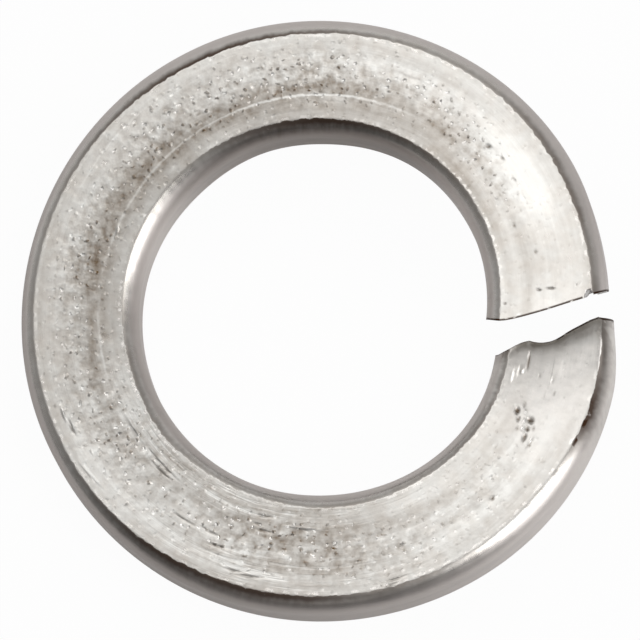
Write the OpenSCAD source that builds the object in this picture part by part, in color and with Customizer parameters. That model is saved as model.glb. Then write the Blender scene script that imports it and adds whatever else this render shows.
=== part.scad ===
// Spring lock washer: one turn of flat wire, coiled on edge into a left-hand helix and
// sheared through. It lies on a flat surface the way it settles by its own weight.

/* [Ring] */
// Diameter of the bore
bore_d = 12.5; // [12.2:0.1:12.9]
// Diameter over the outside
outer_d = 21; // [20.4:0.1:21.4]
// Thickness of the wire between its two faces
wire_t = 2.45; // [2.2:0.05:2.7]
// Rise of the coil in one turn, which is how far a bolt can press it flat
coil_rise = 4.5; // [3:0.1:5]

/* [Wire edges] */
// Width that the rounding of an outer edge takes from the face
outer_round_w = 0.5; // [0.3:0.05:0.7]
// Height that the rounding of an outer edge takes from the outer wall
outer_round_h = 0.55; // [0.3:0.05:0.8]
// Width that the rounding of a bore edge takes from the face
bore_round_w = 0.55; // [0.3:0.05:0.7]
// Height that the rounding of a bore edge takes from the bore wall
bore_round_h = 0.75; // [0.3:0.05:0.9]

/* [Split] */
// Skew of the raised end's edge, in degrees off a radial line
raised_skew = 16.5; // [8:0.5:24]
// Skew of the low end's edge, in degrees off a radial line
low_skew = 21.5; // [8:0.5:26]
// Undercut of the raised end, in degrees off the bore's direction; the low end matches it
undercut = 12; // [4:1:18]
// How far the raised end reaches past the low end, half way across the wire
overlap = 0.2; // [0:0.05:0.4]
// Depth of the hollow that the break left in the low end's edge
hollow_d = 0.24; // [0:0.02:0.3]
// Half the width of that hollow
hollow_w = 0.5; // [0.3:0.05:0.7]
// Length of the face that the shear drew down, beside each cut
drawn_l = 0.65; // [0.4:0.05:0.9]
// Depth to which the shear drew it down
drawn_d = 0.16; // [0:0.02:0.24]

/* [Hidden] */

bore_r = bore_d / 2;
outer_r = outer_d / 2;
mid_r = (bore_r + outer_r) / 2;
half_t = wire_t / 2;

// The coil is swept a little over size, and the round walls are then cut true
skin = 0.03;
rough_bore_r = bore_r - skin;
rough_outer_r = outer_r + skin;

// Steps of the sweep: across a rounding, across a face, beside a cut, and round the ring
ROUND_STEPS = 5;
FACE_STEPS = 6;
END_STEPS = 5;
RING_STEPS = 112;

// Stretch of the ring beside each cut that the shear marked, at the bore where it is longest
end_zone = arc_deg(drawn_l, bore_r);
// Stretch over which the sections turn from the skew of the cut to square across the wire
skew_zone = 45;

function arc_deg(length, r) = length / r * 180 / PI;

// Upper half of the wire's section, from the bore wall over the face to the outer wall
face_in = bore_r + bore_round_w;
face_out = outer_r - outer_round_w;
upper_half = concat(
    [for (i = [0 : ROUND_STEPS - 1]) let (a = 90 * i / ROUND_STEPS)
        [rough_bore_r + (face_in - rough_bore_r) * (1 - cos(a)), half_t - bore_round_h * (1 - sin(a))]],
    [for (i = [0 : FACE_STEPS]) [face_in + (face_out - face_in) * i / FACE_STEPS, half_t]],
    [for (i = [1 : ROUND_STEPS]) let (a = 90 * i / ROUND_STEPS)
        [face_out + (rough_outer_r - face_out) * sin(a), half_t - outer_round_h * (1 - cos(a))]]
);
HALF = len(upper_half);
section = concat(upper_half, [for (i = [HALF - 1 : -1 : 0]) [upper_half[i][0], -upper_half[i][1]]]);
AROUND = len(section);

// The two cuts, as arc lengths from the radial line through the split, at a radius and a height
function undercut_at(v) = (v - half_t) * tan(undercut);
function hollow_at(r) = hollow_d * exp(-pow((r - mid_r) / hollow_w, 2));
function low_cut(r, v) = (mid_r - r) * tan(low_skew) - overlap / 2 + hollow_at(r) + undercut_at(v);
function raised_cut(r, v) = (mid_r - r) * tan(raised_skew) + overlap / 2 + undercut_at(v);

// Stations of the sweep, close together beside the cuts
stations = concat(
    [for (i = [0 : END_STEPS - 1]) end_zone * i / END_STEPS],
    [for (i = [0 : RING_STEPS]) end_zone + (360 - 2 * end_zone) * i / RING_STEPS],
    [for (i = [1 : END_STEPS]) 360 - end_zone * (1 - i / END_STEPS)]
);

// Angle round the coil of a point of the section at a station: at each end it lies on the cut
function fade(angle) = let (t = max(0, 1 - angle / skew_zone)) t * t * (3 - 2 * t);
function coil_angle(station, r, v) = station
    + arc_deg(low_cut(r, v), r) * fade(station)
    + arc_deg(raised_cut(r, v), r) * fade(360 - station);

// Share of the drawn-down depth at an arc length from a cut
function drawn_at(distance) = pow(max(0, 1 - distance / drawn_l), 2);

// The shear drew down the low end's upper face and drew up the raised end's lower face
function drawn(angle, r, v) = v > 0
    ? -drawn_d * v / half_t * drawn_at((angle - arc_deg(low_cut(r, v), r)) * PI / 180 * r)
    : -drawn_d * v / half_t * drawn_at((360 + arc_deg(raised_cut(r, v), r) - angle) * PI / 180 * r);

// A left-hand helix: seen from above, the coil climbs clockwise
function on_coil(angle, r, v) = [r * cos(angle), -r * sin(angle), coil_rise * angle / 360 + v];

function coil_point(station, r, v) = let (angle = coil_angle(station, r, v))
    on_coil(angle, r, v + drawn(angle, r, v));

coil_points = [for (s = stations) for (p = section) coil_point(s, p[0], p[1])];

// Skin of the sweep, and each end closed by strips from its upper edge to its lower edge
LAST = (len(stations) - 1) * AROUND;
skin_faces = [for (j = [0 : len(stations) - 2]) for (i = [0 : AROUND - 1])
    let (a = j * AROUND + i, b = j * AROUND + (i + 1) % AROUND)
    each [[a, b, b + AROUND], [a, b + AROUND, a + AROUND]]];
low_end_faces = [for (i = [0 : HALF - 2]) let (c = AROUND - 1 - i) [i, c, c - 1, i + 1]];
raised_end_faces = [for (i = [0 : HALF - 2]) let (c = AROUND - 1 - i)
    [LAST + i, LAST + i + 1, LAST + c - 1, LAST + c]];

// At rest the washer touches the surface with the low end's bore corner and, straight across
// the ring, with its outer edge, where the surface is tangent to the coil
corner_angle = arc_deg(low_cut(face_in, -half_t), face_in);
corner = on_coil(corner_angle, face_in, -half_t);
across = [-cos(corner_angle), sin(corner_angle)];
along = [sin(corner_angle), cos(corner_angle)];
slope = across * coil_rise / 2 / (face_in + face_out) + along * coil_rise / (2 * PI * face_out);
lean = atan(norm(slope));
middle = coil_rise / 2;
rest_height = (middle - corner[2] + slope * [corner[0], corner[1]]) * cos(lean);

module wire_coil() {
    polyhedron(points = coil_points, faces = concat(skin_faces, low_end_faces, raised_end_faces));
}

// The coil with its bore and its outside cut to true cylinders
module washer() {
    margin = coil_rise + wire_t;
    difference() {
        intersection() {
            wire_coil();
            translate([0, 0, -margin]) cylinder(r = outer_r, h = coil_rise + 2 * margin, $fn = 180);
        }
        translate([0, 0, -margin]) cylinder(r = bore_r, h = coil_rise + 2 * margin, $fn = 180);
    }
}

module lock_washer() {
    color([0.79, 0.78, 0.76])
        translate([0, 0, rest_height])
        rotate(a = lean, v = [-slope[1], slope[0], 0])
        translate([0, 0, -middle])
        washer();
}

lock_washer();
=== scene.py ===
import math

import bpy
import numpy as np
from mathutils import Matrix, Vector


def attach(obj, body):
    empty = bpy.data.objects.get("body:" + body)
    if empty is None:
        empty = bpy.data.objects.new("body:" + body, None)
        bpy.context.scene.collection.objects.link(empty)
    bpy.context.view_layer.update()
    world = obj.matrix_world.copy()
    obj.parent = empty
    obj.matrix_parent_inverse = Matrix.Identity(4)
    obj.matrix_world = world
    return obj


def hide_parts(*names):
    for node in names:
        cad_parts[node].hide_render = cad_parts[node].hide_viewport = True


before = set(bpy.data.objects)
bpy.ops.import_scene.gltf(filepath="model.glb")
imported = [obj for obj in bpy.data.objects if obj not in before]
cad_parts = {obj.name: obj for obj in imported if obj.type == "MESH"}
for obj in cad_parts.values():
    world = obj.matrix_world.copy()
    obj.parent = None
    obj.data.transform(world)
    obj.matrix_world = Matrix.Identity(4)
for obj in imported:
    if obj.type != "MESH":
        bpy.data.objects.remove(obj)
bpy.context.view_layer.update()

# ---------------------------------------------------------------------------------------
# The washer's coil. One turn of flat spring steel wire, wound on edge into a left-hand
# helix and sheared through, so that its two ends stand apart like a split ring.
# Drawing the wire left its long edges rounded over, with a faint crease at each face.

# Lengths are in mm until the mesh is made, and angles run clockwise round from the split
MM = 0.001
BORE_R = 6.25
OUTER_R = 10.5
MID_R = (BORE_R + OUTER_R) / 2
HALF_T = 2.45 / 2
COIL_RISE = 4.5
REST_SLOPE = np.array([-0.13393, 0.07161])
REST_HEIGHT = 2.534

BORE_CREASE_R, BORE_ROUND_H = 6.8, 0.70
RIM_CREASE_R, RIM_ROUND_H = 9.96, 0.60
CREASE = 0.2
EDGE_WAVER, WAVER_WAVES = 0.003, 20
LOW_END_REACH, LOW_END_NARROWER, LOW_END_ROUNDER = 14, 0.15, 0.5

WALL_STEPS, ROUND_STEPS = 4, 8
UPPER_STEPS, LOWER_STEPS = 88, 12
END_ZONE, END_STEPS, RING_STEPS = 6.0, 28, 560
chance = np.random.default_rng(11)


def smooth(x, start, stop):
    """0 before start, 1 after stop, and an even slope between them."""
    t = np.clip((x - start) / (stop - start), 0, 1)
    return t * t * (3 - 2 * t)


def swell(turn, *lobes):
    """The sum of soft lobes round the ring, each a middle and a reach in degrees, and a height."""
    total = 0 * turn
    for middle, reach, size in lobes:
        away = np.abs((turn - middle + 180) % 360 - 180)
        total = total + size * (1 - smooth(away, 0, reach))
    return total


def ripple(turn, fewest, most, count):
    """Uneven waves round the ring, between the fewest and most waves to a turn."""
    waves = chance.integers(fewest, most, count)
    starts = chance.uniform(0, 2 * np.pi, count)
    total = sum(np.sin(np.radians(turn) * k + p) for k, p in zip(waves, starts))
    return total / math.sqrt(count / 2)


def rounding(share):
    """How far a rounded edge has dropped at that share of its width, as a share of its height."""
    return CREASE * share + (1 - CREASE) * (1 - np.sqrt(np.maximum(0, 1 - share**2)))


stations = np.concatenate([
    np.linspace(0, END_ZONE, END_STEPS + 1)[:-1],
    np.linspace(END_ZONE, 360 - END_ZONE, RING_STEPS + 1),
    np.linspace(360 - END_ZONE, 360, END_STEPS + 1)[1:],
])
turn = stations[:, None]
near_low = 1 - smooth(turn, 0, LOW_END_REACH)
bore = BORE_R + swell(
    turn, (27, 42, 0.07), (85, 30, -0.04), (197, 45, 0.04), (248, 28, 0.07), (298, 34, 0.07))
rim = OUTER_R + swell(
    turn, (36, 38, 0.06), (190, 45, -0.055), (288, 45, -0.075), (350, 20, -0.04)
) - LOW_END_NARROWER * near_low
bore_crease = BORE_CREASE_R + swell(
    turn, (212, 55, 0.12), (105, 30, -0.065), (140, 14, 0.06), (26, 40, 0.085), (80, 30, 0.03))
rim_crease = RIM_CREASE_R + swell(
    turn, (14, 42, 0.09), (132, 50, 0.055), (112, 32, -0.045), (35, 16, -0.07),
    (262, 64, -0.10), (240, 16, -0.03), (334, 45, -0.06))
bore_crease = bore_crease + EDGE_WAVER * ripple(turn, 30, 120, WAVER_WAVES)
rim_crease = rim_crease + EDGE_WAVER * ripple(turn, 30, 140, WAVER_WAVES)
bore_w, rim_w = bore_crease - bore, rim - rim_crease
bore_h = BORE_ROUND_H + 0 * turn
rim_h = RIM_ROUND_H + LOW_END_ROUNDER * near_low


def outline_half(face_steps):
    """Half of the wire's outline at each station, from the bore wall over the face to the
    outer wall: radius, height, and how far past the rim's crease and the bore's crease."""
    up = np.linspace(0, 1, WALL_STEPS + 1)[None, :-1]
    over = np.linspace(0, np.pi / 2, ROUND_STEPS + 1)[None, :]
    level = np.linspace(0, 1, face_steps + 1)[None, :]
    leaving, arriving = np.cos(over[:, :-1]), np.sin(over[:, 1:])
    r = np.concatenate([
        bore + 0 * up,
        bore_crease - bore_w * leaving,
        bore_crease + (rim_crease - bore_crease) * level,
        rim_crease + rim_w * arriving,
        rim + 0 * up,
    ], axis=1)
    v = np.concatenate([
        (HALF_T - bore_h) * up,
        HALF_T - bore_h * rounding(leaving),
        HALF_T + 0 * turn * level,
        HALF_T - rim_h * rounding(arriving),
        (HALF_T - rim_h) * up[:, ::-1],
    ], axis=1)
    return np.stack([r, v, r - rim_crease, bore_crease - r])


upper, lower = outline_half(UPPER_STEPS), outline_half(LOWER_STEPS)
lower[1] *= -1
r, v, past_rim, past_bore = np.concatenate([upper, lower[:, :, -2:0:-1]], axis=2)
around = r.shape[1]

# ---------------------------------------------------------------------------------------
# The split. The shear cut the coil through at a slant, a little undercut, and broke the
# last of the wire: the low end's edge is hollowed and the raised end's rim is nicked.
# It drew down the low end's upper face and drew up the raised end's lower one.

# Each cut's upper edge: radius, and arc from the radial line through the split
LOW_EDGE = np.array([
    (6.25, 0.80), (6.4, 0.79), (6.6, 0.66), (6.8, 0.545), (7.0, 0.41), (7.2, 0.30),
    (7.4, 0.235), (7.48, 0.215), (7.6, 0.248), (7.8, 0.27), (8.0, 0.262), (8.2, 0.225),
    (8.4, 0.133), (8.6, 0.005), (8.8, -0.145), (9.0, -0.274), (9.2, -0.388), (9.6, -0.616),
    (9.9, -0.742), (10.0, -0.72), (10.3, -0.708), (10.5, -0.684)])
RAISED_EDGE = np.array([
    (6.25, 0.47), (6.5, 0.48), (6.8, 0.50), (7.0, 0.475), (7.3, 0.40), (7.6, 0.307),
    (8.0, 0.171), (8.4, 0.028), (8.8, -0.124), (9.2, -0.28), (9.6, -0.427), (9.9, -0.545),
    (10.12, -0.64), (10.3, -0.70), (10.5, -0.763)])
NICK_R, NICK_HALF, NICK_DEPTH = 9.88, 0.17, 0.27
UNDERCUT = math.tan(math.radians(12))
SKEW_ZONE = 45
DRAWN_LENGTH, DRAWN_DEPTH = 0.28, 0.028
HOLLOW_R, HOLLOW_REACH, HOLLOW_SHORTER = 8.1, 0.5, 0.45
CUT_RINGS = 14


def along_edge(edge, r, v):
    """Arc from the radial line through the split to a sheared face, at a radius and a height."""
    jag = np.interp(r, edge[:, 0], edge[:, 1])
    plain = edge[0, 1] + (edge[-1, 1] - edge[0, 1]) * (r - BORE_R) / (OUTER_R - BORE_R)
    depth = smooth(v, -HALF_T, HALF_T)
    nick = NICK_DEPTH * (1 - smooth(np.abs(r - NICK_R) / NICK_HALF, 0.5, 1))
    nick = nick * (edge is RAISED_EDGE)
    return plain + (jag - plain) * depth + (v - HALF_T) * UNDERCUT - nick


def past_cut(angle, r, v):
    """Arc from the low end's sheared face to a point, and from the raised end's to it."""
    return (
        np.radians(angle) * r - along_edge(LOW_EDGE, r, v),
        np.radians(360 - angle) * r + along_edge(RAISED_EDGE, r, v))


def drawn(angle, r, v):
    """How far the shear dragged the face beside each cut, towards the wire's middle."""
    low_side, raised_side = past_cut(angle, r, v)
    reach = np.where(v > 0, low_side, raised_side)
    hollow = np.exp(-(((r - HOLLOW_R) / HOLLOW_REACH) ** 2))
    length = DRAWN_LENGTH * (1 - HOLLOW_SHORTER * hollow)
    return -DRAWN_DEPTH * v / HALF_T * np.maximum(0, 1 - reach / length) ** 2


def on_coil(angle, r, v):
    """A left-hand helix: seen from above, it climbs clockwise."""
    w = np.radians(angle)
    return np.stack([r * np.cos(w), -r * np.sin(w), COIL_RISE * angle / 360 + v], axis=-1)


angle = (
    turn
    + np.degrees(along_edge(LOW_EDGE, r, v) / r) * (1 - smooth(turn, 0, SKEW_ZONE))
    + np.degrees(along_edge(RAISED_EDGE, r, v) / r) * (1 - smooth(360 - turn, 0, SKEW_ZONE)))
points = [np.stack([angle, r, v, past_rim, past_bore], axis=-1).reshape(-1, 5)]
faces = [
    (j * around + i, j * around + (i + 1) % around,
     (j + 1) * around + (i + 1) % around, (j + 1) * around + i)
    for j in range(len(stations) - 1) for i in range(around)]
skin_faces = len(faces)

# Each sheared face is a set of rings that shrink from the wire's outline to its middle
for end, edge in ((0, LOW_EDGE), (len(stations) - 1, RAISED_EDGE)):
    ring = np.arange(around) + end * around
    for k in range(1, CUT_RINGS + 1):
        share = 1 - k / CUT_RINGS
        size = around if k < CUT_RINGS else 1
        start = sum(len(p) for p in points)
        ring_r = MID_R + (r[end, :size] - MID_R) * share
        ring_v = v[end, :size] * share
        ring_angle = (360 if end else 0) + np.degrees(along_edge(edge, ring_r, ring_v) / ring_r)
        points.append(np.stack([ring_angle, ring_r, ring_v, 0 * ring_r, 0 * ring_r], axis=-1))
        inner = start + np.arange(around) * (size > 1)
        for i in range(around):
            n = (i + 1) % around
            patch = (ring[i], inner[i]) + ((inner[n],) if size > 1 else ()) + (ring[n],)
            faces.append(tuple(int(p) for p in (patch if end else patch[::-1])))
        ring = inner
points = np.concatenate(points)
angle, r, v = points[:, 0], points[:, 1], points[:, 2]

# ---------------------------------------------------------------------------------------
# Scores and dents in the upper face. The coiling tools scored it along the wire, it was
# knocked about loose in a bin with others, and the shear left the low end's face a little
# flatter than the coil.

# Each mark: degrees round from the split, distance from the bore, half its length and
# width, slant off the wire's run in degrees, and depth, where less than 0 is raised
SCORES = (
    (101.0, 1.08, 0.46, 0.045, 4, 1.0), (100.0, 1.60, 0.40, 0.05, 0, 1.0),
    (102.5, 1.42, 0.22, 0.05, 2, 0.8), (111.8, 2.29, 0.37, 0.05, 2, 1.0),
    (109.8, 2.63, 0.42, 0.05, 8, 1.0), (114.0, 2.25, 0.28, 0.04, 5, 0.8),
    (104.3, 3.25, 0.42, 0.05, 5, 1.1), (100.8, 3.30, 0.68, 0.045, 8, 1.1),
    (155.4, 3.29, 0.34, 0.045, 177, -1.2), (152.0, 3.22, 0.40, 0.045, 177, 1.3),
    (200.4, 1.36, 0.25, 0.06, 11, -1.0), (141.3, 3.48, 1.0, 0.045, 8, -0.4),
    (70.6, 3.51, 0.68, 0.045, 1, 1.0), (71.6, 3.66, 0.43, 0.04, 179, 1.0),
    (90.0, 1.30, 0.95, 0.035, 178, -0.8), (11.8, 0.84, 0.43, 0.05, 4, -0.7),
    (10.6, 1.07, 0.34, 0.06, 3, 0.8), (10.2, 1.16, 0.16, 0.04, 0, -1.2),
    (132.4, 1.31, 1.2, 0.035, 178, 0.8), (131.6, 1.50, 0.7, 0.035, 1, 0.8),
    (144.5, 1.29, 0.9, 0.03, 179, -0.7), (119.4, 2.34, 0.68, 0.04, 179, 0.8))
DENTS = (
    (7.2, 1.31, 0.46, 0.045, 0, 1.5), (21.1, 1.49, 0.16, 0.10, 30, 1.6),
    (22.1, 2.07, 0.20, 0.10, 100, 1.6), (24.3, 2.11, 0.14, 0.08, 60, 1.3),
    (26.4, 2.17, 0.16, 0.08, 20, 1.4), (27.5, 2.47, 0.10, 0.06, 0, 1.0),
    (23.0, 1.66, 0.10, 0.07, 0, 1.2), (42.6, 2.68, 0.09, 0.07, 0, 1.2),
    (11.0, 2.29, 0.10, 0.05, 150, 0.8), (10.7, 1.80, 0.07, 0.05, 0, 0.8),
    (15.0, 2.17, 0.06, 0.05, 0, 0.8), (18.8, 1.64, 0.08, 0.06, 0, 1.0),
    (13.7, 2.47, 0.05, 0.05, 0, 0.7), (355.1, 1.90, 0.13, 0.035, 84, 0.8),
    (354.8, 2.32, 0.24, 0.035, 86, 0.8), (315.4, 2.14, 0.12, 0.07, 40, 1.2),
    (319.7, 2.23, 0.08, 0.06, 0, 1.0), (325.8, 2.15, 0.08, 0.06, 0, 1.0),
    (330.8, 2.14, 0.06, 0.05, 0, 0.8), (333.6, 1.85, 0.06, 0.05, 0, 0.8),
    (337.0, 1.44, 0.06, 0.05, 0, 0.7), (340.7, 1.79, 0.06, 0.05, 0, 0.7),
    (345.3, 1.92, 0.05, 0.05, 0, 0.7), (358.8, 0.71, 0.06, 0.05, 0, 0.6),
    (20.6, 1.78, 0.09, 0.06, 60, -1.0), (22.8, 1.86, 0.08, 0.05, 0, -1.2),
    (24.6, 1.93, 0.08, 0.06, 20, -1.0), (26.2, 2.40, 0.09, 0.05, 10, -1.0),
    (23.4, 2.30, 0.06, 0.05, 0, 0.9), (25.6, 1.80, 0.06, 0.05, 0, 0.9),
    (27.6, 2.20, 0.07, 0.05, 0, 0.9))
SCORE_DEPTH, DENT_DEPTH = 0.030, 0.040
MARK_SPREAD, MARK_FLOOR = 1.3, 0.2
SCORE_SHADE = 0.35
TOP_SHARE = 0.999
# How far round the flattening goes, and how much of the coil's climb it takes off at the cut
FLAT_END, FLAT_SHARE = 16.0, 1.5


def marked(marks, angle, r):
    """How deep the marks are at a point, where 1 is a plain one's middle."""
    total = 0 * r
    for middle, off, half_length, half_width, slant, depth in marks:
        along, beside = np.radians(angle - middle) * r, r - BORE_R - off
        c, s = math.cos(math.radians(slant)), math.sin(math.radians(slant))
        away = np.hypot(
            (along * c + beside * s) / half_length,
            (beside * c - along * s) / (MARK_SPREAD * half_width))
        total = total + depth * (1 - smooth(away, MARK_FLOOR, 1))
    return total


top = v > TOP_SHARE * HALF_T
scored, dented = marked(SCORES, angle, r) * top, marked(DENTS, angle, r) * top
flatter = (
    FLAT_SHARE * COIL_RISE / 720 / FLAT_END * np.maximum(0, FLAT_END - angle) ** 2
    * (v / HALF_T + 1) / 2)
height = v + drawn(angle, r, v) + flatter - SCORE_DEPTH * scored - DENT_DEPTH * dented
placed = on_coil(angle, r, height) - np.array([0, 0, COIL_RISE / 2])
lean = Matrix.Rotation(
    math.atan(float(np.hypot(*REST_SLOPE))), 3, Vector((-REST_SLOPE[1], REST_SLOPE[0], 0)))
placed = placed @ np.array(lean).T + np.array([0, 0, REST_HEIGHT])

# ---------------------------------------------------------------------------------------
# Wear and painted light on the wire. Its faces are gritty where scale came off and lighter and
# darker in patches, its creases carry bright worn specks with painted glints, grime with painted
# shade sits in the hollow just beyond them, the walls carry painted shade, and the low end's face
# carries painted light.

# Spots on the face: middle and reach in degrees, middle and reach from the bore, strength
GRITTY_SPOTS = (
    (100, 36, 2.0, 1.8, 0.90), (145, 34, 1.9, 2.0, 0.70), (185, 34, 2.2, 1.4, 0.60),
    (228, 36, 2.1, 1.8, 0.62), (268, 36, 2.1, 1.6, 0.85), (300, 22, 2.2, 1.2, 0.45),
    (70, 24, 2.4, 1.5, 0.50), (45, 24, 2.2, 1.5, 0.25), (196, 20, 2.0, 1.6, 0.35),
    (318, 26, 1.6, 1.0, 0.50))
FACE_LEVEL_SPOTS = (
    (228, 85, 1.45, 0.9, -0.24), (240, 95, 1.2, 1.9, -0.10), (180, 35, 1.6, 2.2, -0.11),
    (165, 50, 2.9, 2.0, -0.11), (80, 32, 2.2, 2.2, -0.16), (322, 28, 2.6, 1.0, 0.13),
    (308, 36, 0.9, 0.7, -0.14), (86, 30, 2.4, 2.4, -0.12), (134, 24, 2.9, 1.6, 0.14),
    (155, 22, 0.9, 0.9, 0.18), (200, 24, 2.1, 0.8, -0.09), (238, 14, 0.8, 0.6, 0.14),
    (286, 26, 1.2, 0.8, -0.19), (285, 34, 2.6, 1.2, -0.06), (322, 26, 0.7, 0.6, -0.15),
    (345, 16, 2.2, 2.2, -0.12), (57, 14, 0.9, 0.7, 0.12), (132, 30, 1.9, 2.4, -0.08),
    (267, 16, 2.6, 1.2, -0.10), (330, 20, 2.4, 1.6, 0.12), (303, 13, 1.35, 0.5, -0.17),
    (132, 14, 1.35, 0.4, 0.20), (147, 14, 2.95, 0.6, 0.12), (102, 20, 1.8, 2.0, -0.06),
    (262, 40, 2.6, 1.2, -0.09), (316, 26, 0.9, 0.8, -0.07), (214, 30, 2.6, 1.4, -0.08),
    (5, 16, 2.0, 1.8, 0.10), (2.5, 1.3, 1.22, 0.12, 0.50), (336, 11, 0.8, 0.5, -0.09),
    (305, 14, 1.9, 1.6, -0.07), (183, 45, 1.9, 3.0, -0.03), (42, 20, 1.35, 0.4, 0.10),
    (200, 12, 1.35, 0.4, 0.08), (139, 10, 1.35, 0.4, 0.08), (20, 12, 3.4, 0.4, -0.10),
    (185, 10, 2.4, 0.5, -0.09), (108, 30, 3.6, 0.35, -0.14), (236, 20, 3.6, 0.3, -0.08),
    (17, 12, 3.5, 0.5, -0.09), (141, 7, 3.45, 0.1, 0.25))
SCRATCHY_SPOTS = ((112, 60, 0.8, 0.9, 1.0), (100, 38, 3.1, 1.2, 0.8))
LINED_SPOTS = (
    (240, 75, 1.4, 0.9, 1.0), (268, 40, 1.4, 0.9, 0.8), (218, 32, 3.3, 0.9, 0.6),
    (168, 16, 1.4, 0.9, 0.7))
# Where the low end's face is painted lighter, as painted light
LOW_END_LIT_SPOT = (6, 30, 2.2, 4.8, 1.0)
LOW_DARK_EDGE_FROM = 2.2


def patches(angle, off, *spots):
    """The sum of soft patches, each a middle and reach in degrees, a middle and reach in mm
    from the bore, and a strength."""
    total = 0 * off
    for middle, reach, off_middle, off_reach, strength in spots:
        away = np.abs((angle - middle + 180) % 360 - 180)
        total = total + strength * (1 - smooth(away, 0, reach)) * (
            1 - smooth(np.abs(off - off_middle), 0, off_reach))
    return total


off = r - BORE_R
past_rim, past_bore = points[:, 3], points[:, 4]
past_crease = np.maximum(past_rim, past_bore)
rimward = past_rim > past_bore
low_side, raised_side = past_cut(angle, r, v)
rimside = smooth(off, 1.8, 3.4)
# How far the nearer cut is, a little more where no dark line is drawn along it
in_nick = np.abs(r - NICK_R) < NICK_HALF
cut_side = np.minimum(low_side + 0.05 * (off < LOW_DARK_EDGE_FROM), raised_side + 0.2 * in_nick)

gritty = 0.18 + patches(angle, off, *GRITTY_SPOTS)
# The face lighter and darker in patches round the ring, and painted shade right beside the low
# end's cut
face_level = (
    0.79 - 0.07 * (1 - smooth(np.abs(off - 1.45), 0.2, 1.1))
    + 0.05 * smooth(off, 1.8, 3.0) - 0.07 * smooth(off, 3.1, 3.6)
    + patches(angle, off, *FACE_LEVEL_SPOTS)
    - 0.20 * (1 - smooth(low_side, 0.0, 0.6 + 0.4 * rimside)))
scratchy = 0.10 + patches(angle, off, *SCRATCHY_SPOTS)
line_share = patches(angle, off, *LINED_SPOTS)
# Bright worn specks on the creases, partly painted glints
worn_and_glint = np.where(
    rimward,
    0.2 + swell(
        angle, (285, 50, 0.3), (45, 28, 0.4), (352, 34, 0.25), (150, 50, 0.25), (80, 40, 0.4),
        (28, 14, 0.5)),
    0.3 + swell(
        angle, (152, 38, 0.9), (178, 18, 0.4), (330, 30, 0.25), (60, 40, 0.3), (215, 25, -0.3)))
# Grime beyond the creases, partly painted shade on the rounded edges: how far it reaches and how
# dark it is
grime_and_shade_width = np.where(
    rimward,
    0.23 + swell(
        angle, (103, 58, 0.26), (240, 26, 0.10), (325, 36, 0.12), (8, 26, 0.26), (20, 12, 0.20)),
    0.26 + swell(angle, (260, 46, 0.26), (150, 40, 0.06)))
grime_and_shade_share = np.clip(np.where(
    rimward,
    0.30 + swell(
        angle, (240, 52, 0.62), (278, 44, 0.22), (118, 46, 0.64), (64, 16, 0.30), (86, 28, 0.40),
        (330, 40, 0.42), (6, 24, 0.45), (18, 13, 0.40), (38, 22, -0.45), (352, 12, -0.25)),
    0.45 + swell(
        angle, (270, 46, 0.50), (204, 34, -0.75), (240, 24, 0.10), (300, 20, 0.10), (30, 40, 0.15),
        (150, 34, 0.20))), 0, 1)
# Only the low end's face gets this painted light, where the raised end above cuts off its light:
# half a turn keeps the spot off the raised end beside it
low_end_painted_light = patches(angle, off, LOW_END_LIT_SPOT) * (angle < 180) * smooth(
    low_side, 0.1 + 0.3 * rimside, 0.55 + 0.5 * rimside)
# The walls lighter and darker round the ring: painted shade where they face away from the lights,
# and painted light where they face the light at the right
wall_tone_and_shade = np.where(
    rimward,
    0.71 + swell(angle, (28, 44, 0.32), (112, 66, -0.22), (175, 50, -0.14)),
    0.71 + swell(angle, (55, 60, 0.10), (268, 60, -0.32), (204, 30, 0.24), (298, 30, -0.16)))

# The mesh carries the wear and the painted light and shade in layers of three numbers, which the
# steel's nodes read
SHARP_EDGE = 40
mesh = bpy.data.meshes.new("washer_wire")
mesh.from_pydata((placed * MM).tolist(), [], faces)
for name, values in (
        ("wire", (np.radians(angle) * MID_R, off, v)),
        ("edges", (past_crease, worn_and_glint, grime_and_shade_width)),
        ("marks", (dented + SCORE_SHADE * scored, grime_and_shade_share, gritty)),
        ("wear", (face_level, cut_side, line_share)),
        ("lines", (scratchy, wall_tone_and_shade, low_end_painted_light))):
    layer = mesh.attributes.new(name, "FLOAT_VECTOR", "POINT")
    layer.data.foreach_set("vector", np.stack(values, axis=-1).astype(np.float32).ravel())
mesh.polygons.foreach_set("use_smooth", [True] * len(faces))
mesh.polygons.foreach_set("material_index", [0] * skin_faces + [1] * (len(faces) - skin_faces))
mesh.set_sharp_from_angle(angle=math.radians(SHARP_EDGE))
washer = bpy.data.objects.new("washer_wire", mesh)
bpy.context.scene.collection.objects.link(washer)
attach(washer, "root")
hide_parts("lock_washer")

# ---------------------------------------------------------------------------------------
# The steel. Bare drawn wire with a satin face: pitted down the middle of its width, scored along
# its length by the coiling tools, with grime and painted shade on the rounded edges, painted shade
# on the walls, and painted light on the low end's face.

CLEAN_FACE = (0.82, 0.808, 0.775, 1)
WARM_FACE = (0.82, 0.798, 0.758, 1)
WALL = (0.84, 0.785, 0.752, 1)
BRIGHT = (0.94, 0.905, 0.86, 1)
DULL_FACE = (0.105, 0.056, 0.014, 1)
# The grime colour, which also serves for painted shade on the creases and walls
GRIME_AND_SHADE = (0.050, 0.025, 0.014, 1)
PIT_SCALE, PIT_WARP = 4.3, 0.32
# A painted highlight on the low end's rim corner: how far it reaches and how steeply it ends
FACET_GLINT_REACH, FACET_GLINT_SLOPE = 0.8, 1.37
# Heights of the relief, in mm
GRIT_HEIGHT, SPECK_HEIGHT, BLOTCH_HEIGHT, BROAD_HEIGHT = 0.020, 0.013, 0.006, 0.006
LINE_HEIGHT, LINE_HEIGHT_EDGE, SCRATCH_HEIGHT = 0.0022, 0.0006, 0.004
# How far the low end's face leans in its shading, and how matt it is beside the cut
END_LEAN, END_MATT = 0.17, 0.6


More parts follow.
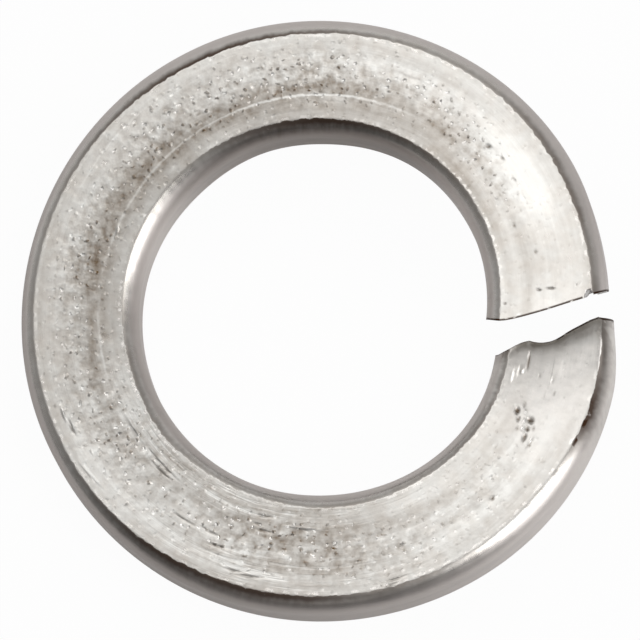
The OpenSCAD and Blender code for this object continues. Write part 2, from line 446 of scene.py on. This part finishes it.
class Shade:
    """A socket in a node tree. An expression on shades adds its Math nodes."""

    def __init__(self, tree, socket=None):
        self.tree, self.socket = tree, socket

    def node(self, kind, settings=None, sockets=None, out=0):
        """Adds a node: its settings first, then the values or links of its sockets."""
        made = self.tree.nodes.new(kind)
        for name, value in (settings or {}).items():
            setattr(made, name, value)
        for name, value in (sockets or {}).items():
            if isinstance(value, Shade):
                self.tree.links.new(value.socket, made.inputs[name])
            else:
                made.inputs[name].default_value = value
        return Shade(self.tree, made.outputs[out] if made.outputs else None)

    def pick(self, out):
        """Another output of the same node."""
        return Shade(self.tree, self.socket.node.outputs[out])

    def math(self, operation, *values):
        return self.node("ShaderNodeMath", {"operation": operation}, dict(enumerate(values)))

    def __add__(self, other):
        return self.math("ADD", self, other)

    def __sub__(self, other):
        return self.math("SUBTRACT", self, other)

    def __rsub__(self, other):
        return self.math("SUBTRACT", other, self)

    def __mul__(self, other):
        return self.math("MULTIPLY", self, other)

    __radd__, __rmul__ = __add__, __mul__

    def smooth(self, start, stop):
        """0 up to start and 1 from stop on, or the other way round if stop is lower."""
        return self.node(
            "ShaderNodeMapRange", {"interpolation_type": "SMOOTHSTEP"},
            {"Value": self, "From Min": start, "From Max": stop})

    def between(self, start, stop, soft):
        """1 between start and stop, with that much softness at both ends."""
        return self.smooth(start - soft, start + soft) * self.smooth(stop + soft, stop - soft)

    def grain(self, scale, detail=2.0, roughness=0.5):
        """Noise from 0 to 1 at this vector, with that many lumps to its unit."""
        return self.node("ShaderNodeTexNoise", None, {
            "Vector": self, "Scale": scale, "Detail": detail, "Roughness": roughness})

    def mix(self, a, b):
        """Colour a where this is 0 and colour b where it is 1."""
        return self.node("ShaderNodeMix", {"data_type": "RGBA"}, {0: self, 6: a, 7: b}, 2)


steel = bpy.data.materials.new("drawn_spring_steel")
steel.use_nodes = True
steel.node_tree.nodes.clear()
s = Shade(steel.node_tree)


def split_up(shade, name):
    """The three numbers of a layer of the mesh."""
    whole = shade.node("ShaderNodeAttribute", {"attribute_name": name}, out="Vector")
    parts = shade.node("ShaderNodeSeparateXYZ", None, {"Vector": whole})
    return parts, parts.pick("Y"), parts.pick("Z")


run, across, height = split_up(s, "wire")
past_edge, worn_and_glint_share, grime_and_shade_reach = split_up(s, "edges")
dented, grime_and_shade_share, gritty = split_up(s, "marks")
face_level, from_cut, line_share = split_up(s, "wear")
scratchy, wall_tone_and_shade, low_end_painted_light = split_up(s, "lines")
place = s.node("ShaderNodeVectorMath", {"operation": "SCALE"}, {
    0: s.node("ShaderNodeTexCoord", out="Object"), "Scale": 1 / MM})

# Blotches and grit, then lines and speckles drawn out along the wire
blotches = place.grain(1.5, 2)
grit = place.grain(3.2, 2, 0.55)
drawn_lines = s.node("ShaderNodeCombineXYZ", None, {
    "X": run * 0.5, "Y": across * 8.0, "Z": height * 8.0}).grain(1.0, 2, 0.6)
broad_lines = s.node("ShaderNodeCombineXYZ", None, {
    "X": run * 0.12, "Y": across * 2.2, "Z": height * 2.0}).grain(1.0, 1)
speckle = s.node("ShaderNodeCombineXYZ", None, {
    "X": run * 4.5, "Y": across * 3.0, "Z": height}).grain(1.0, 2)

# Bright and dark pits and scratches, which stop at the creases' ragged edges
ragged = past_edge + (speckle - 0.5) * 0.14
on_face = ragged.smooth(0.03, -0.02)
on_wall = past_edge.smooth(0.08, 0.38)
warp = grit.pick("Color")
grit = (grit - 0.5) * gritty * on_face
pits = s.node("ShaderNodeTexVoronoi", {"voronoi_dimensions": "2D"}, {
    "Vector": s.node("ShaderNodeVectorMath", {"operation": "MULTIPLY_ADD"}, {
        0: warp, 1: (PIT_WARP, PIT_WARP, 0), 2: s.node("ShaderNodeCombineXYZ", None, {
            "X": run * 0.9, "Y": across})}), "Scale": PIT_SCALE})
kind = s.node("ShaderNodeSeparateXYZ", None, {"Vector": pits.pick("Color")})
shiny_or_dark = kind.smooth(0.34, 0.08) - kind.smooth(0.56, 0.92)
speck = pits.smooth(0.32, 0.07) * shiny_or_dark * gritty * on_face
scratches = drawn_lines.smooth(0.52, 0.68) - drawn_lines.smooth(0.46, 0.34) * 0.5
scratches = scratches * scratchy * on_face

# Bright wear on the creases, partly painted glints, two faint lines left by the rolls, and the
# grime with painted shade beyond
worn_and_glint = ragged.between(-0.10, 0.0, 0.03) * worn_and_glint_share * speckle.smooth(0.47, 0.60)
faint = across + (speckle - 0.5) * 0.10
faint = (faint.between(1.36, 1.44, 0.03) + faint.between(3.22, 3.30, 0.03)) * line_share
grime_and_shade = ragged.smooth(-0.01, 0.03) * ragged.smooth(grime_and_shade_reach, grime_and_shade_reach * 0.2) * grime_and_shade_share
rim_specks = (
    run.between(2.3, 5.6, 0.6) * across.smooth(3.2, 3.6) * past_edge.between(0.02, 0.12, 0.03))
# A dark line drawn along the cuts' edges
cut_edge_dark = from_cut.smooth(0.10, 0.04) * speckle.smooth(0.30, 0.42)
grime_and_shade = (
    (grime_and_shade + rim_specks * speckle.smooth(0.50, 0.62) * 0.35) * speckle.smooth(0.08, 0.32)
    + cut_edge_dark * 0.9)

# The face from dull to clean, the walls with their painted shade, then the worn specks, glints and
# painted light, then the grime and painted shade. The facet is a painted highlight, a bright
# corner at the low end's rim, with smudges where the blade entered.
# Dents and scores are darker in colour: partly dirt in them, partly painted shade
face_tone = (
    face_level + grit * 1.3 + (speckle - 0.5) * gritty * on_face * 0.30 + speck * 0.36
    + (blotches - 0.5) * 0.14 + (broad_lines - 0.5) * 0.50
    + scratches * 0.30 + faint * broad_lines.smooth(0.40, 0.56) * 0.30 - dented * 0.50)
face_colour = face_tone.mix(DULL_FACE, blotches.smooth(0.40, 0.60).mix(WARM_FACE, CLEAN_FACE))
wall_tone_and_shade = wall_tone_and_shade + (broad_lines - 0.5) * 0.20 + (blotches - 0.5) * 0.10
facet_glint = (FACET_GLINT_REACH - run * FACET_GLINT_SLOPE - height).smooth(0.0, 0.2) * across.smooth(3.6, 3.9)
smudge = from_cut.smooth(0.42, 0.12) * speckle.smooth(0.40, 0.50)
colour = on_wall.mix(face_colour, wall_tone_and_shade.mix(GRIME_AND_SHADE, WALL))
low_end_lit_tone = (
    0.85 + (blotches - 0.5) * 1.1 + (speckle - 0.5) * 1.3 + speck * 0.5 - dented * 0.4)
colour = (worn_and_glint + facet_glint * (0.8 - smudge * 1.7) + low_end_painted_light * low_end_lit_tone).mix(colour, BRIGHT)
colour = grime_and_shade.mix(colour, GRIME_AND_SHADE)
roughness = (
    0.30 + (blotches - 0.5) * 0.12 - speck * 0.06 + dented * 0.1
    - past_edge.between(0.03, 0.30, 0.03) * 0.06 + past_edge.smooth(0.16, 0.48) * 0.20
    - worn_and_glint * 0.08 + low_end_painted_light * 0.08 + grime_and_shade * 0.2)
relief = (
    grit * GRIT_HEIGHT + speck * SPECK_HEIGHT
    + (blotches - 0.5) * BLOTCH_HEIGHT + broad_lines * BROAD_HEIGHT
    + drawn_lines * (on_face * LINE_HEIGHT + LINE_HEIGHT_EDGE) + scratches * SCRATCH_HEIGHT
    - from_cut.smooth(2.3, 0.5) * run.smooth(8, 6) * END_LEAN)
bumped = s.node("ShaderNodeBump", None, {"Strength": 1.0, "Distance": MM, "Height": relief})
s.node("ShaderNodeOutputMaterial", None, {"Surface": s.node("ShaderNodeBsdfPrincipled", None, {
    "Base Color": colour, "Metallic": 1 - low_end_painted_light * from_cut.smooth(1.2, 0.5) * END_MATT,
    "Roughness": roughness, "Normal": bumped})})

# The sheared faces: smooth where the blade cut, coarse and dull where the last of it broke
CUT_STEEL = (0.72, 0.70, 0.68, 1)
BLADE_HEIGHT, CRUMB_HEIGHT = 0.012, 0.07
sheared = bpy.data.materials.new("sheared_spring_steel")
sheared.use_nodes = True
sheared.node_tree.nodes.clear()
s = Shade(sheared.node_tree)
cut_at = s.node("ShaderNodeAttribute", {"attribute_name": "wire"}, out="Vector")
cut_across = s.node("ShaderNodeSeparateXYZ", None, {"Vector": cut_at}, "Y")
cut_height = cut_across.pick("Z")
cut_place = s.node("ShaderNodeVectorMath", {"operation": "SCALE"}, {
    0: s.node("ShaderNodeTexCoord", out="Object"), "Scale": 1 / MM})
torn_edge = s.node("ShaderNodeCombineXYZ", None, {"X": cut_across * 1.5}).grain(1.0, 2)
torn = (cut_height + torn_edge * 0.9).smooth(0.55, 0.25)
blade_lines = s.node("ShaderNodeCombineXYZ", None, {
    "X": cut_across * 9.0, "Y": cut_height * 0.6}).grain(1.0, 3)
crumbs = cut_place.grain(5.0, 4, 0.6)
cut_tone = 0.95 + (blade_lines - 0.5) * 0.3 - torn * 0.25 + (crumbs - 0.5) * torn * 0.5
s.node("ShaderNodeOutputMaterial", None, {"Surface": s.node("ShaderNodeBsdfPrincipled", None, {
    "Base Color": cut_tone.mix(GRIME_AND_SHADE, CUT_STEEL), "Metallic": 1.0,
    "Roughness": 0.33 + torn * 0.2,
    "Normal": s.node("ShaderNodeBump", None, {"Strength": 1.0, "Distance": MM, "Height": (
        blade_lines * (1 - torn) * BLADE_HEIGHT + crumbs * torn * CRUMB_HEIGHT)})})})
mesh.materials.append(steel)
mesh.materials.append(sheared)

# ---------------------------------------------------------------------------------------
# The floor. A wide sheet of white studio board under the washer, matt and seamless. It is
# seen nearly white, and keeps the washer's shadow.

FLOOR_HALF = 3.0
BOARD_GREY = (0.8, 0.8, 0.8, 1)
SEEN_WHITE, SEEN_IN_METAL, SEEN_IN_GLASS = 0.965, 0.20, 0.95
floor_mesh = bpy.data.meshes.new("floor")
floor_mesh.from_pydata(
    [(x * FLOOR_HALF, y * FLOOR_HALF, 0) for x, y in ((-1, -1), (1, -1), (1, 1), (-1, 1))],
    [], [(0, 1, 2, 3)])
floor = bpy.data.objects.new("floor", floor_mesh)
bpy.context.scene.collection.objects.link(floor)
board = bpy.data.materials.new("white_board")
board.use_nodes = True
board.node_tree.nodes.clear()
s = Shade(board.node_tree)
seen = s.node("ShaderNodeLightPath", out="Is Camera Ray")
glow = (
    seen * SEEN_WHITE + seen.pick("Is Glossy Ray") * SEEN_IN_METAL
    + seen.pick("Is Transmission Ray") * SEEN_IN_GLASS)
paper = s.node("ShaderNodeBsdfDiffuse", None, {"Color": BOARD_GREY})
white = s.node("ShaderNodeEmission", None, {"Color": (1, 1, 1, 1), "Strength": 1.0})
s.node("ShaderNodeOutputMaterial", None, {
    "Surface": s.node("ShaderNodeMixShader", None, {0: glow, 1: paper, 2: white})})
floor_mesh.materials.append(board)

# ---------------------------------------------------------------------------------------
# The camera. It looks almost straight down the bore, leaning a little to the split's side.
# Its tilt off the bore, the way it leans and its roll are in degrees.

TILT, LEAN_WAY, ROLL = 13.5, 62.9, 3.1
VIEW_WIDTH, VIEW_DISTANCE = 22.63 * MM, 0.6
AIM_RIGHT, AIM_UP = 0.0954 * MM, 0.007 * MM
SENSOR = 36

tilt, way, roll = math.radians(TILT), math.radians(LEAN_WAY), math.radians(LEAN_WAY + ROLL)
to_camera = Vector((
    math.sin(tilt) * math.cos(way), -math.sin(tilt) * math.sin(way), math.cos(tilt)))
downhill = Vector((
    math.cos(tilt) * math.cos(way), -math.cos(tilt) * math.sin(way), -math.sin(tilt)))
sideways = Vector((-math.sin(way), -math.cos(way), 0))
right = lean @ (downhill * math.cos(roll) - sideways * math.sin(roll))
down = lean @ (downhill * math.sin(roll) + sideways * math.cos(roll))
to_camera = lean @ to_camera
bore_way = lean @ Vector((0, 0, 1))
centre = Vector((0, 0, REST_HEIGHT * MM)) + right * AIM_RIGHT - down * AIM_UP
camera_data = bpy.data.cameras.new("camera")
camera_data.sensor_width = SENSOR
camera_data.lens = SENSOR * VIEW_DISTANCE / VIEW_WIDTH
camera_data.clip_start, camera_data.clip_end = 0.01, 10
camera = bpy.data.objects.new("camera", camera_data)
bpy.context.scene.collection.objects.link(camera)
camera.matrix_world = Matrix.Translation(centre + to_camera * VIEW_DISTANCE) @ Matrix(
    (right, -down, to_camera)).transposed().to_4x4()
bpy.context.scene.camera = camera

# ---------------------------------------------------------------------------------------
# The light. A plain pale room, a little brighter behind the washer, and five soft lights:
# a broad and a small one overhead, one behind, one in front, and one at the right.

ROOM_LEVEL, ROOM_SLOPE = 0.36, 0.34


def soft_light(name, way, polar, wide, tall, level, distance=0.5):
    """A rectangle of light. way is a turn clockwise from the right of the view, polar a tilt
    off the bore, wide and tall half its size in degrees as the washer sees it, and level its
    brightness."""
    w, p = math.radians(way), math.radians(polar)
    flat = right * math.cos(w) + down * math.sin(w)
    flat = (flat - bore_way * flat.dot(bore_way)).normalized()
    toward = flat * math.sin(p) + bore_way * math.cos(p)
    tall_way = flat * math.cos(p) - bore_way * math.sin(p)
    data = bpy.data.lights.new(name, "AREA")
    data.shape = "RECTANGLE"
    data.size = 2 * distance * math.tan(math.radians(wide))
    data.size_y = 2 * distance * math.tan(math.radians(tall))
    data.energy = level * math.pi * data.size * data.size_y
    lamp = bpy.data.objects.new(name, data)
    bpy.context.scene.collection.objects.link(lamp)
    lamp.matrix_world = Matrix.Translation(centre + toward * distance) @ Matrix(
        (tall_way.cross(toward), tall_way, toward)).transposed().to_4x4()
    lamp.visible_camera = False


soft_light("overhead_softbox", 250, 8, 24, 24, 0.21)
soft_light("middle_softbox", 241, 11.5, 5, 5, 1.5)
soft_light("back_softbox", 266, 30, 24, 13, 0.75)
soft_light("front_softbox", 92, 52, 13, 12, 0.55)
soft_light("side_softbox", 25, 47, 11.5, 28, 2.5)

world = bpy.data.worlds.new("studio")
bpy.context.scene.world = world
world.use_nodes = True
world.node_tree.nodes.clear()
s = Shade(world.node_tree)
seen = s.node("ShaderNodeLightPath", out="Is Camera Ray")
toward_top = s.node("ShaderNodeVectorMath", {"operation": "DOT_PRODUCT"}, {
    0: s.node("ShaderNodeTexCoord", out="Generated"), 1: tuple(-down)}, "Value")
room = ROOM_LEVEL + ROOM_SLOPE * toward_top
s.node("ShaderNodeOutputWorld", None, {"Surface": s.node("ShaderNodeBackground", None, {
    "Color": (1, 1, 1, 1), "Strength": seen + (1 - seen) * room})})

bpy.context.scene.view_settings.view_transform = "Standard"
